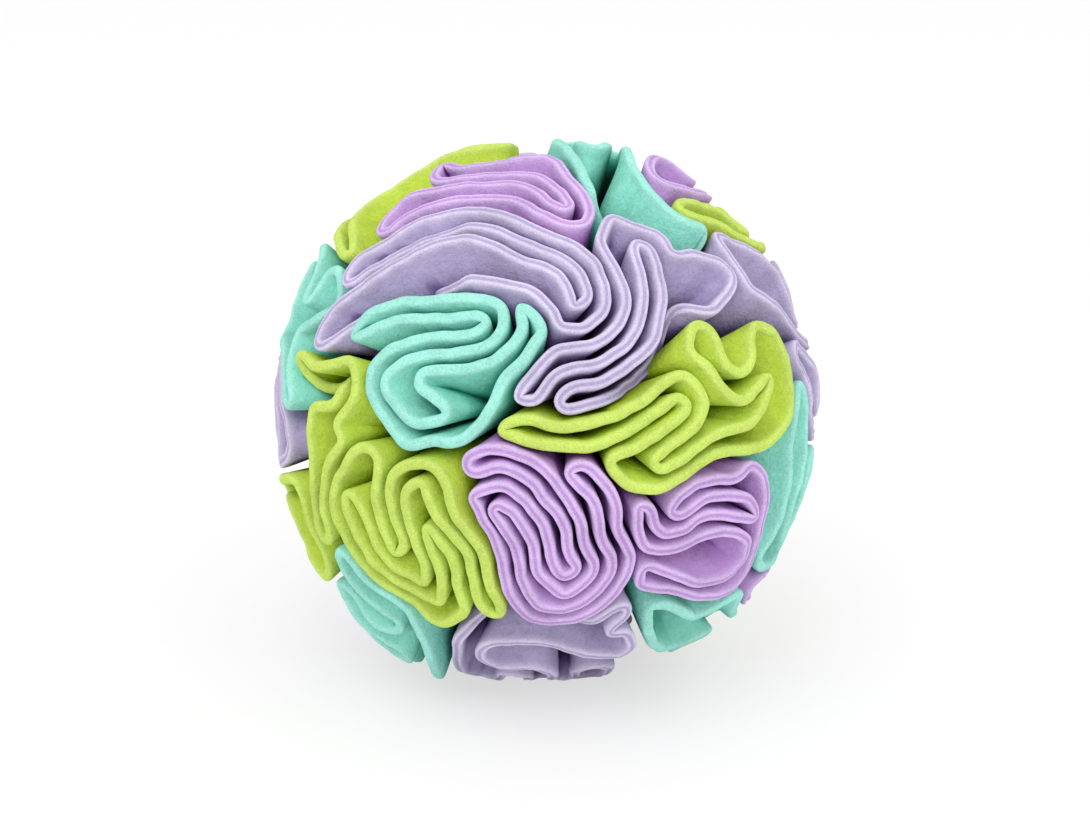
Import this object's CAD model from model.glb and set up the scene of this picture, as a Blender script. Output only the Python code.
"""Plush snuffle ball: every gathered fleece disc as soft cloth with a cut rim, packed round a sewn core.

Each disc's rim follows the rim of its solid. Below the rim the cloth falls inward to the core, leans over
into the hollows beside it, and thins where it is gathered. Units are metres, +Z is up.
"""

import math

import bmesh
import bpy
import numpy as np
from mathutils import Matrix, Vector, noise
from mathutils.bvhtree import BVHTree


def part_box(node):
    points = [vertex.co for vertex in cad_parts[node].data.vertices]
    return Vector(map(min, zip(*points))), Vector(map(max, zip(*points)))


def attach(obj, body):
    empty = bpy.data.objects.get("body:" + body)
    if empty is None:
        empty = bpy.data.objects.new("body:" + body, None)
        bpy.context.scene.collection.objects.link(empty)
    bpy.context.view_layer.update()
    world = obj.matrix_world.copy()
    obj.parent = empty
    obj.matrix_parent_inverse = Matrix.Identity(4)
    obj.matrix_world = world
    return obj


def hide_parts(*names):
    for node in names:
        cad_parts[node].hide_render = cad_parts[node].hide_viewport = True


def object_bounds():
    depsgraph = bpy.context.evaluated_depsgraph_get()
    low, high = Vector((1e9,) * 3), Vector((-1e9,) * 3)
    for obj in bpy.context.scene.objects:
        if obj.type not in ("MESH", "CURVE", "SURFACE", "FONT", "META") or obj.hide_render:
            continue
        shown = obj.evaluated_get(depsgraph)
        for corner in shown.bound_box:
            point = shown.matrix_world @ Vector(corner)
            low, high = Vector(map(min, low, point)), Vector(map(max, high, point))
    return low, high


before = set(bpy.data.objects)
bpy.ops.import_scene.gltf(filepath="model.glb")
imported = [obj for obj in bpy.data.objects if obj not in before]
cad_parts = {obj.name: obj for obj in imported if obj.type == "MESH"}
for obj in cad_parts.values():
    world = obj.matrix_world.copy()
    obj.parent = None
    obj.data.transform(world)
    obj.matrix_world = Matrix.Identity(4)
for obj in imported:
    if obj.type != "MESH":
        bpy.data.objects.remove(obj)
cad_low, cad_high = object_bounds()

MM = 0.001

# Ball, as its solids have it
SETTLING = 2.5 * MM          # how far its underside is pressed flat
BALL_RADIUS = (cad_high.z - cad_low.z + SETTLING) / 2
MIDDLE = np.array((0.0, 0.0, BALL_RADIUS - SETTLING))
CORE_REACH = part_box("core_cover_upper")[1].x
RIM_LEAST_RADIUS = 0.6 * BALL_RADIUS
RIM_WELD = 0.01 * MM
CURVE_STEPS = 10             # steps of the smooth curve from each place of a rim to the next

# Fleece
THICKNESS = 3 * MM
STATION_STEP = 1.6 * MM
NECK_CLEARANCE = 1.5 * MM    # between the core and the neck, where the cloth ends
NECK_RADIUS = CORE_REACH + NECK_CLEARANCE
NECK_DEPTH = BALL_RADIUS - NECK_RADIUS
NECK_SPREAD_SHARE = 0.88     # how wide the folds still are at the neck
BEND_SHARE = 0.8             # how much of a bend's radius the cloth may take up on its inside
LEAST_BEND = 0.1 / THICKNESS
CLOTH_WELD = 0.001 * MM

# How deep the groove along the cut rim is. Below nothing, the rim is rounded.
GROOVE_DEPTHS = {"lime": -0.3 * MM, "mint": -0.3 * MM, "purple": 0.7 * MM, "lavender": 0.6 * MM}

# Down a face: how far out from the cloth's middle, in half thicknesses, and how deep below the rim
PROFILE = [
    (0.6, 0.0 * MM), (0.93, 0.4 * MM), (1.04, 1.2 * MM), (1.02, 2.2 * MM), (1.0, 3.8 * MM), (1.0, 6 * MM),
    (1.0, 9.5 * MM), (1.0, 14 * MM), (0.92, 20 * MM), (0.74, 28 * MM), (0.5, 38 * MM),
]

# How deep below the rim a place is, as its finish is told: in COLOUR_DEPTHs, up to DEEPEST
COLOUR_DEPTH = 15 * MM
DEEPEST = 2.0

# How a place in the folds is judged open or shut in: by its lines of sight out of the ball
SIGHT_START = 0.6 * MM
SIGHT_RANGE = 40 * MM
SIGHT_SPREAD = 0.75
SIGHT_WAYS = [Vector(way).normalized() for way in (
    (0, 0, 0),
    (1, 1, 1), (1, 1, -1), (1, -1, 1), (1, -1, -1),
    (-1, 1, 1), (-1, 1, -1), (-1, -1, 1), (-1, -1, -1),
)]
OPEN_BLENDS = 2

# How the cloth leans into the hollows beside it
LEAN_FULL_DEPTH = 15 * MM
LEAN_LIMIT = 14 * MM
LEAN_RANGE = 12 * MM         # how near passes must be to spread apart
LEAN_PITCH = 4.3 * MM        # how near they may come
LEAN_RANGE_PUSH = 0.9
LEAN_RANGE_POWER = 2
LEAN_PITCH_PUSH = 1.3
LEAN_PITCH_POWER = 1
LEAN_DRIFT = 0.6 * MM        # how far one round leans them toward the middle of the front
LEAN_FULL_FACING = 0.4       # how far to the front a place faces where its lean is full, as a cosine
LEAN_TURNS_FACING = -0.6     # and where the lean turns toward the middle of the back
LEAN_BACK_SHARE = 0.25       # how much of the lean and of its limit the back has
LEAN_CENTRE = 0.4            # how near the front's middle the lean fades
LEAN_ROUNDS = 48
LEAN_BLENDS = 1
PAIR_ROUNDS = 4              # rounds before near places are paired anew
PAIR_MARGIN = 1.1            # how much further off they are still paired

# Unevenness of the cloth: its size, its waves round the ball and its seed
NOISE_SEED = 4
RISE, RISE_WAVES, RISE_SEED = 2.2 * MM, 3.4, 3.0
SWAY, SWAY_WAVES, SWAY_SEED = 2.4 * MM, 1.1, 11.0
RIPPLE, RIPPLE_WAVES, RIPPLE_SEED = 0.9 * MM, 8.5, 5.0
FLUTTER, FLUTTER_WAVES, FLUTTER_SEED = 0.4 * MM, 20.0, 8.0
RIPPLE_LEAD = 3 * MM         # how far above the rim the ripple sets in
RIPPLE_RISE = 9 * MM         # how far it takes to be full

# View
FOCAL_LENGTH = 85.0
SENSOR_WIDTH = 36.0
CLIP_START = 0.01
VIEW_DISTANCE = 0.711
VIEW_TILT = math.radians(20)
AIM = Vector(MIDDLE)
FRONT = np.array((0.0, -math.cos(VIEW_TILT), math.sin(VIEW_TILT)))

# Stage
FLOOR_RADIUS = 3.0
FLOOR_SEGMENTS = 64
FLOOR_GREY = 0.93
FLOOR_SHADED = 0.3           # what the camera sees of the floor's shading, so that its shadow stays pale
FLOOR_GLOW = 0.64            # and the glow that the camera sees over it
WORLD_COLOUR = (1.0, 1.0, 1.0, 1.0)
LAMPS = [                    # name, place, size, power
    ("key", (-0.35, -0.7, 1.3), 1.1, 7.0),
    ("fill", (0.7, -0.7, 1.1), 1.1, 3.5),
]

noise.seed_set(NOISE_SEED)


def unit(vectors):
    return vectors / np.maximum(np.linalg.norm(vectors, axis=-1, keepdims=True), 1e-12)


def noise_at(directions, waves, seed):
    """Smooth vector noise at each direction."""
    offset = Vector((seed, -seed, 2 * seed))
    flat = directions.reshape(-1, 3)
    values = [noise.noise_vector(Vector(d) * waves + offset) for d in flat]
    return np.array(values).reshape(directions.shape)


# Rims, read from the solids

def rim_places(node):
    """Middle line of a disc's rim, in order round it, from the strip that the solid's rim shows."""
    bm = bmesh.new()
    bm.from_mesh(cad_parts[node].data)
    bmesh.ops.remove_doubles(bm, verts=bm.verts, dist=RIM_WELD)
    middle = Vector(MIDDLE)
    walls = [f for f in bm.faces if any((v.co - middle).length < RIM_LEAST_RADIUS for v in f.verts)]
    bmesh.ops.delete(bm, geom=walls, context="FACES")
    edge = next(e for e in bm.edges if e.is_boundary)
    first = vert = edge.verts[0]
    places = []
    while True:
        across = [e for e in vert.link_edges if not e.is_boundary]
        partner = min(across, key=lambda e: e.calc_length()).other_vert(vert)
        places.append((vert.co + partner.co) / 2)
        vert = edge.other_vert(vert)
        edge = next(e for e in vert.link_edges if e.is_boundary and e is not edge)
        if vert is first:
            break
    bm.free()
    return np.array(places) - MIDDLE


def smooth_loop(places, step):
    """Closed centripetal curve through the places, at even steps."""
    corners = [np.roll(places, shift, axis=0) for shift in (1, 0, -1, -2)]
    knots = [np.zeros((len(places), 1))]
    for start, end in zip(corners, corners[1:]):
        knots.append(knots[-1] + np.linalg.norm(end - start, axis=1, keepdims=True) ** 0.5)
    curve = []
    for share in np.linspace(0, 1, CURVE_STEPS, endpoint=False):
        t = knots[1] + share * (knots[2] - knots[1])
        lines = [on_the_way(t, knots[i], knots[i + 1], corners[i], corners[i + 1]) for i in range(3)]
        bends = [on_the_way(t, knots[i], knots[i + 2], lines[i], lines[i + 1]) for i in range(2)]
        curve.append(on_the_way(t, knots[1], knots[2], *bends))
    return even_loop(np.stack(curve, axis=1).reshape(-1, 3), step)


def on_the_way(t, low, high, start, end):
    """What lies at t, where low has start and high has end."""
    return start + (end - start) * (t - low) / (high - low)


def even_loop(curve, step):
    closed = np.vstack((curve, curve[:1]))
    along = np.concatenate(((0.0,), np.cumsum(np.linalg.norm(np.diff(closed, axis=0), axis=1))))
    stations = np.linspace(0, along[-1], round(along[-1] / step), endpoint=False)
    return np.stack([np.interp(stations, along, closed[:, axis]) for axis in range(3)], axis=1)


def leaned(rims):
    """Directions of the same stations lower down, where each pass has leaned into the room beside it.

    Passes spread apart where they can, and lean toward the middle of the front, as far as the passes before
    them let them.
    """
    tops = np.concatenate([unit(rim) for rim in rims.values()])
    counts = [len(rim) for rim in rims.values()]
    owner = np.repeat(np.arange(len(counts)), counts)
    count = np.repeat(counts, counts)
    station = np.concatenate([np.arange(size) for size in counts])
    limit = LEAN_LIMIT / BALL_RADIUS * np.maximum(lean_share(tops), LEAN_BACK_SHARE)
    places = tops
    for turn in range(LEAN_ROUNDS):
        if turn % PAIR_ROUNDS == 0:
            pairs = near_pairs(places, owner, count, station)
        move = LEAN_RANGE_PUSH * spread(places, pairs, LEAN_RANGE / BALL_RADIUS, LEAN_RANGE_POWER)
        move += drift(places)
        move += LEAN_PITCH_PUSH * spread(places, pairs, LEAN_PITCH / BALL_RADIUS, LEAN_PITCH_POWER)
        offset = blended(places + move - tops, counts)
        length = np.linalg.norm(offset, axis=1, keepdims=True)
        offset *= limit / np.maximum(length, limit)
        places = unit(tops + offset)
    return dict(zip(rims, np.split(places, np.cumsum(counts)[:-1])))


def near_pairs(places, owner, count, station):
    """Numbers of the places that are near each other, but not on the same stretch of one rim."""
    compact = places.astype(np.float32)
    near = compact @ compact.T > math.cos(PAIR_MARGIN * LEAN_RANGE / BALL_RADIUS)
    first, second = np.nonzero(np.triu(near, 1))
    along = np.abs(station[first] - station[second])
    along = np.minimum(along, count[first] - along)
    apart = (owner[first] != owner[second]) | (along > round(LEAN_RANGE / STATION_STEP))
    return first[apart], second[apart]


def spread(places, pairs, reach, power):
    """How far each place is pushed by the others within reach."""
    first, second = pairs
    offset = places[first] - places[second]
    distance = np.linalg.norm(offset, axis=1)
    push = np.maximum(1 - distance / reach, 0) ** power * reach / distance
    size = len(places)
    weight = sum(np.bincount(end, push > 0, size) for end in pairs)
    move = [np.bincount(first, push * part, size) - np.bincount(second, push * part, size)
            for part in offset.T]
    return np.stack(move, axis=1) / np.maximum(weight, 1)[:, None]


def drift(places):
    """One round's lean toward the middle of the front, or of the back well round the far side."""
    toward = FRONT - (places @ FRONT)[:, None] * places
    near = np.minimum(np.linalg.norm(toward, axis=1, keepdims=True) / LEAN_CENTRE, 1)
    return LEAN_DRIFT / BALL_RADIUS * lean_share(places) * near * unit(toward)


def lean_share(places):
    """Full lean at the front, and less and less round the far side, where it turns."""
    share = (places @ FRONT - LEAN_TURNS_FACING) / (LEAN_FULL_FACING - LEAN_TURNS_FACING)
    return np.clip(share, -LEAN_BACK_SHARE, 1)[:, None]


def blended(offset, counts):
    """The same shifts, made smooth along each rim."""
    parts = []
    for part in np.split(offset, np.cumsum(counts)[:-1]):
        for _ in range(LEAN_BLENDS):
            part = (np.roll(part, 1, axis=0) + 2 * part + np.roll(part, -1, axis=0)) / 4
        parts.append(part)
    return np.concatenate(parts)


# Cloth

def ease(depth, full):
    share = np.clip(depth / full, 0, 1)
    return share * share * (3 - 2 * share)


def cloth_middle(rim, lean, depths):
    """Places of the cloth's middle layer: one row of stations for each depth below the rim."""
    top = unit(rim)
    radius = np.linalg.norm(rim, axis=1) + RISE * noise_at(top, RISE_WAVES, RISE_SEED)[:, 0]
    heart = unit(top.mean(axis=0))
    sway = noise_at(top, SWAY_WAVES, SWAY_SEED)
    ripple = noise_at(top, RIPPLE_WAVES, RIPPLE_SEED)
    flutter = noise_at(top, FLUTTER_WAVES, FLUTTER_SEED)
    rows = []
    for depth in depths:
        share = min(depth / NECK_DEPTH, 1.0)
        aim = unit(top + (lean - top) * ease(depth, LEAN_FULL_DEPTH))
        aim = unit(heart + (1 - (1 - NECK_SPREAD_SHARE) * share) * (aim - heart))
        fall = 1 - share
        row = aim * (NECK_RADIUS + (radius[:, None] - NECK_RADIUS) * fall)
        row += fall * (SWAY * ease(depth, LEAN_FULL_DEPTH) * sway + FLUTTER * flutter)
        row += fall * RIPPLE * ease(depth + RIPPLE_LEAD, RIPPLE_RISE) * ripple
        rows.append(row)
    return np.array(rows)


def cloth_rings(rim, lean, groove_depth):
    """Rings from the neck up one face, over the rim and down the other face, and the cloth's area."""
    depths = np.array([depth for _, depth in PROFILE] + [NECK_DEPTH])
    middle = cloth_middle(rim, lean, depths)
    corners = middle[:-1], middle[1:], np.roll(middle[:-1], -1, axis=1)
    down, across = corners[1] - corners[0], corners[2] - corners[0]
    area = np.linalg.norm(np.cross(down, across), axis=2).sum()
    along = unit(np.roll(middle, -1, axis=1) - np.roll(middle, 1, axis=1))
    inward = np.gradient(middle, axis=0)
    side = unit(np.cross(along, inward))
    ahead = np.roll(middle, -1, axis=1) - middle
    bend = (unit(ahead) - unit(np.roll(ahead, 1, axis=1))) / STATION_STEP
    bend = (bend * side).sum(axis=2, keepdims=True)
    half = np.array([wide for wide, _ in PROFILE])[:, None, None] * THICKNESS / 2
    limit = BEND_SHARE / np.maximum(np.abs(bend[:-1]), LEAST_BEND)
    tight = np.minimum(half, limit)
    wide = np.broadcast_to(half, tight.shape)
    left = middle[:-1] + side[:-1] * np.where(bend[:-1] > 0, tight, wide)
    right = middle[:-1] - side[:-1] * np.where(bend[:-1] < 0, tight, wide)
    groove = middle[0] * (1 - groove_depth / BALL_RADIUS)
    rings = [middle[-1], *left[::-1], groove, *right]
    return [on_floor(ring + MIDDLE) for ring in rings], area


def on_floor(places):
    """The same places, pressed flat where the ball rests."""
    placed = places.copy()
    placed[:, 2] = np.maximum(placed[:, 2], 0.0)
    return placed


def fleece_disc(name, rim, lean, groove_depth, material):
    """One disc, whose vertices carry how deep below the rim they are and which of them are on the cut."""
    rings, area = cloth_rings(rim, lean, groove_depth)
    bm = bmesh.new()
    station = bm.verts.layers.int.new("station")
    depth = bm.verts.layers.float.new("depth")
    cut = bm.verts.layers.float.new("cut")
    verts = [bm.verts.new(place) for place in rings[0]]
    for index, vert in enumerate(verts):
        vert[station] = index
        vert[depth] = DEEPEST
    edges = [bm.edges.new(pair) for pair in zip(verts, [*verts[1:], verts[0]])]
    depths = [d for _, d in PROFILE]
    levels = [*depths[::-1], 0.0, *depths, BALL_RADIUS]
    groove = rings[len(depths) + 1]
    for ring, level in zip([*rings[1:], rings[0]], levels):
        made = bmesh.ops.extrude_edge_only(bm, edges=edges)["geom"]
        edges = [item for item in made if isinstance(item, bmesh.types.BMEdge)]
        for vert in (item for item in made if isinstance(item, bmesh.types.BMVert)):
            vert.co = ring[vert[station]]
            vert[depth] = min(level / COLOUR_DEPTH, DEEPEST)
            vert[cut] = float(ring is groove)
    bmesh.ops.remove_doubles(bm, verts=bm.verts, dist=CLOTH_WELD)
    bmesh.ops.recalc_face_normals(bm, faces=bm.faces)
    mesh = bpy.data.meshes.new(name)
    bm.to_mesh(mesh)
    bm.free()
    mesh.shade_smooth()
    mesh.materials.append(material)
    disc = bpy.data.objects.new(name, mesh)
    bpy.context.scene.collection.objects.link(disc)
    soften = disc.modifiers.new("soften", "SUBSURF")
    soften.levels = soften.render_levels = 1
    return disc, area


def mark_folds(discs):
    """Gives each place of the cloth the share of its lines of sight that leave the ball."""
    bm = bmesh.new()
    for disc in discs:
        bm.from_mesh(disc.data)
    cloth = BVHTree.FromBMesh(bm)
    bm.free()
    middle = Vector(MIDDLE)
    for disc in discs:
        shares = []
        for vert in disc.data.vertices:
            out = (vert.co - middle).normalized()
            start = vert.co + vert.normal * SIGHT_START
            clear = [cloth.ray_cast(start, (out + SIGHT_SPREAD * way).normalized(), SIGHT_RANGE)[0] is None
                     for way in SIGHT_WAYS]
            shares.append(sum(clear) / len(clear))
        shares = spread_along_edges(disc.data, np.array(shares))
        disc.data.attributes.new("open", "FLOAT", "POINT").data.foreach_set("value", shares)


def spread_along_edges(mesh, shares):
    """The same shares, each blended with those of the vertices beside it."""
    ends = np.empty(2 * len(mesh.edges), dtype=np.int32)
    mesh.edges.foreach_get("vertices", ends)
    first, second = ends.reshape(-1, 2).T
    size = len(shares)
    count = np.bincount(ends, minlength=size)
    for _ in range(OPEN_BLENDS):
        beside = np.bincount(first, shares[second], size) + np.bincount(second, shares[first], size)
        shares = (shares + beside / np.maximum(count, 1)) / 2
    return shares


# Finishes

class Value:
    """A node's output that sums and products are written with."""

    def __init__(self, finish, socket):
        self.finish, self.socket = finish, socket

    def sum_with(self, operation, first, second):
        return self.finish.node("ShaderNodeMath", {"operation": operation}, {0: first, 1: second})

    def __add__(self, other):
        return self.sum_with("ADD", self, other)

    def __sub__(self, other):
        return self.sum_with("SUBTRACT", self, other)

    def __rsub__(self, other):
        return self.sum_with("SUBTRACT", other, self)

    def __mul__(self, other):
        return self.sum_with("MULTIPLY", self, other)

    __radd__, __rmul__ = __add__, __mul__

    def between(self, low, high):
        """This value's way from low to high, as 0 to 1."""
        return self.finish.node("ShaderNodeMapRange", {"interpolation_type": "SMOOTHSTEP"},
                                {"Value": self, "From Min": low, "From Max": high})


class Finish:
    """A material whose shader is set socket by socket."""

    def __init__(self, name, **constants):
        self.material = bpy.data.materials.new(name)
        self.material.use_nodes = True
        self.nodes = self.material.node_tree.nodes
        self.shader = self.nodes["Principled BSDF"]
        for socket, value in constants.items():
            self.shader.inputs[socket.replace("_", " ")].default_value = value
        self.place = self.node("ShaderNodeTexCoord", output="Object")

    def node(self, kind, settings=None, sockets=None, output=0):
        made = self.nodes.new(kind)
        for name, value in (settings or {}).items():
            if name == "stops":
                self.set_stops(made.color_ramp, value)
            else:
                setattr(made, name, value)
        for name, value in (sockets or {}).items():
            self.feed(made.inputs[name], value)
        return Value(self, made.outputs[output])

    def set_stops(self, ramp, stops):
        while len(ramp.elements) < len(stops):
            ramp.elements.new(0.5)
        for element, (position, colour) in zip(ramp.elements, stops):
            element.position, element.color = position, (*colour, 1.0)

    def feed(self, socket, value):
        if isinstance(value, Value):
            self.material.node_tree.links.new(value.socket, socket)
        else:
            socket.default_value = (*value, 1.0) if socket.type == "RGBA" and len(value) == 3 else value

    def mottle(self, scale, detail, roughness):
        return self.node("ShaderNodeTexNoise", None,
                         {"Vector": self.place, "Scale": scale, "Detail": detail, "Roughness": roughness})

    def mix(self, share, first, second, blend="MIX"):
        made = self.nodes.new("ShaderNodeMix")
        made.data_type, made.blend_type = "RGBA", blend
        for index, value in ((0, share), (6, first), (7, second)):
            self.feed(made.inputs[index], value)
        return Value(self, made.outputs[2])

    def bump(self, height, strength, distance, over=None):
        sockets = {"Height": height, "Strength": strength, "Distance": distance}
        if over is not None:
            sockets["Normal"] = over
        return self.node("ShaderNodeBump", None, sockets)

    def finish(self, **links):
        for socket, value in links.items():
            self.feed(self.shader.inputs[socket.replace("_", " ")], value)
        return self.material


def linear(red, green, blue):
    """A colour given as a screen shows it, 0 to 255, in the shader's own scale."""
    return tuple(((v / 255 + 0.055) / 1.055) ** 2.4 if v > 10 else v / 3294 for v in (red, green, blue))


# Each fleece's colour on its cut rim, on its faces, part way into a fold and at the bottom of one
FLEECE_COLOURS = {
    "lime": {"rim": linear(190, 212, 106), "face": linear(178, 203, 72),
             "fold": linear(134, 162, 8), "deep": linear(34, 58, 0)},
    "mint": {"rim": linear(154, 216, 203), "face": linear(133, 208, 190),
             "fold": linear(62, 166, 144), "deep": linear(0, 60, 44)},
    "purple": {"rim": linear(204, 178, 220), "face": linear(178, 141, 199),
               "fold": linear(126, 76, 150), "deep": linear(38, 6, 58)},
    "lavender": {"rim": linear(203, 193, 218), "face": linear(165, 155, 190),
                 "fold": linear(116, 98, 146), "deep": linear(32, 22, 62)},
}
CUT_CONTRAST = {"lime": 0.2, "mint": 0.2, "purple": 0.9, "lavender": 0.9}
FOLD_SHARE = 0.5
COVER_COLOUR = linear(150, 145, 165)
FILLING_COLOUR = linear(225, 225, 220)

# Unevenness of the fleece: waves to the metre, detail and roughness, and how much it tells in the lightness
FIBRE, FIBRE_LIGHT, FIBRE_RIM_LIGHT = (2400.0, 2.0, 0.6), 0.35, 0.3
NAP, NAP_LIGHT = (900.0, 3.0, 0.7), 0.4
TUFT, TUFT_LIGHT = (240.0, 2.0, 0.6), 0.25
CLOUD, CLOUD_LIGHT = (70.0, 2.0, 0.6), 0.4
THREAD, THREAD_BOUNDS, THREAD_SHADE = (700.0, 2.0, 0.6), (0.3, 0.7), 0.8

# What is rim, what is shut in and what is cut: from none to all, and how ragged its bound is
RIM_BOUNDS, RIM_RAGGED = (0.0, 0.2), 0.12
OPEN_BOUNDS, OPEN_RAGGED = (0.08, 0.95), 0.1
CUT_BOUNDS, CUT_RAGGED = (0.15, 0.75), 0.6

# Strength and height of each bump
FUZZ_BUMP = (0.7, 0.4 * MM)
LUMP_BUMP = (0.5, 1.2 * MM)
THREAD_BUMP = (0.4, 0.3 * MM)


def fleece(name, colours):
    """Napped fleece: its rim fuzzes out lighter than its faces, and its folds deepen in colour inward."""
    finish = Finish("fleece_" + name, Roughness=1.0, Specular_IOR_Level=0.05, Sheen_Weight=0.22,
                    Sheen_Roughness=0.6, Sheen_Tint=(*colours["face"], 1.0))
    depth, cut, clear = (finish.node("ShaderNodeAttribute", {"attribute_name": attribute}, output="Fac")
                         for attribute in ("depth", "cut", "open"))
    fibre, nap, tuft, cloud = (finish.mottle(*mottle) for mottle in (FIBRE, NAP, TUFT, CLOUD))
    edge = 1 - (depth + (nap - 0.5) * RIM_RAGGED).between(*RIM_BOUNDS)
    shut = 1 - (clear + (tuft - 0.5) * OPEN_RAGGED).between(*OPEN_BOUNDS)
    groove = (cut + (nap - 0.5) * CUT_RAGGED).between(*CUT_BOUNDS)
    stops = [(0.0, colours["face"]), (FOLD_SHARE, colours["fold"]), (1.0, colours["deep"])]
    colour = finish.node("ShaderNodeValToRGB", {"stops": stops}, {"Fac": shut})
    colour = finish.mix(edge * (1 - shut) * (1 - groove * CUT_CONTRAST[name]), colour, colours["rim"])
    light = 1 + (fibre - 0.5) * (FIBRE_LIGHT + edge * FIBRE_RIM_LIGHT) + (nap - 0.5) * NAP_LIGHT
    light = light + (tuft - 0.5) * TUFT_LIGHT + (cloud - 0.5) * CLOUD_LIGHT
    shade = finish.node("ShaderNodeCombineColor", None, {"Red": light, "Green": light, "Blue": light})
    colour = finish.mix(1.0, colour, shade, "MULTIPLY")
    fuzz = finish.bump(fibre + nap, *FUZZ_BUMP)
    return finish.finish(Base_Color=colour, Normal=finish.bump(tuft, *LUMP_BUMP, fuzz))


def plain_cloth(name, colour):
    finish = Finish(name, Roughness=0.95, Specular_IOR_Level=0.15)
    thread = finish.mottle(*THREAD)
    shaded = tuple(THREAD_SHADE * share for share in colour)
    shade = finish.mix(thread.between(*THREAD_BOUNDS), shaded, colour)
    return finish.finish(Base_Color=shade, Normal=finish.bump(thread, *THREAD_BUMP))


# Object

def make_ball():
    fleeces = {name: fleece(name, colours) for name, colours in FLEECE_COLOURS.items()}
    nodes = sorted(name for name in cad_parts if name.startswith("fleece_"))
    rims = {node: smooth_loop(rim_places(node), STATION_STEP) for node in nodes}
    leans = leaned(rims)
    discs = []
    for node in nodes:
        colour = node.split("_")[1]
        disc, area = fleece_disc(node.replace("fleece_", "disc_"), rims[node], leans[node],
                                 GROOVE_DEPTHS[colour], fleeces[colour])
        discs.append(disc)
        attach(disc, "root")
        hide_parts(node)
        colour + "_fleece"
        across = math.sqrt(4 * area / math.pi)
    mark_folds(discs)
    cover = plain_cloth("core_cloth", COVER_COLOUR)
    filling = plain_cloth("core_fibre", FILLING_COLOUR)
    for node, finish in (("core_cover_upper", cover), ("core_cover_lower", cover),
                         ("core_stuffing", filling)):
        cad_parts[node].data.materials.clear()
        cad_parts[node].data.materials.append(finish)


# Stage

def make_stage():
    bm = bmesh.new()
    bmesh.ops.create_circle(bm, cap_ends=True, segments=FLOOR_SEGMENTS, radius=FLOOR_RADIUS)
    mesh = bpy.data.meshes.new("floor")
    bm.to_mesh(mesh)
    bm.free()
    floor = bpy.data.objects.new("floor", mesh)
    bpy.context.scene.collection.objects.link(floor)
    finish = Finish("floor", Roughness=0.9, Specular_IOR_Level=0.1, Emission_Strength=FLOOR_GLOW)
    seen = finish.node("ShaderNodeLightPath", output="Is Camera Ray")
    grey = finish.mix(seen, (FLOOR_GREY,) * 3, (FLOOR_SHADED,) * 3)
    glow = finish.mix(seen, (0.0, 0.0, 0.0), (1.0, 1.0, 1.0))
    mesh.materials.append(finish.finish(Base_Color=grey, Emission_Color=glow))
    world = bpy.data.worlds.new("studio")
    bpy.context.scene.world = world
    world.use_nodes = True
    world.node_tree.nodes["Background"].inputs["Color"].default_value = WORLD_COLOUR
    for lamp in LAMPS:
        add_lamp(*lamp)


def add_lamp(name, place, size, power):
    lamp = bpy.data.lights.new(name, "AREA")
    lamp.shape, lamp.size, lamp.energy = "DISK", size, power
    made = bpy.data.objects.new(name, lamp)
    made.location = place
    made.rotation_euler = (AIM - Vector(place)).to_track_quat("-Z", "Y").to_euler()
    bpy.context.scene.collection.objects.link(made)


def make_camera():
    lens = bpy.data.cameras.new("camera")
    lens.lens, lens.sensor_width, lens.clip_start = FOCAL_LENGTH, SENSOR_WIDTH, CLIP_START
    camera = bpy.data.objects.new("camera", lens)
    toward = Vector(FRONT)
    camera.location = AIM + toward * VIEW_DISTANCE
    camera.rotation_euler = (-toward).to_track_quat("-Z", "Y").to_euler()
    bpy.context.scene.collection.objects.link(camera)
    bpy.context.scene.camera = camera
    bpy.context.scene.view_settings.view_transform = "Standard"


make_camera()
make_ball()
make_stage()
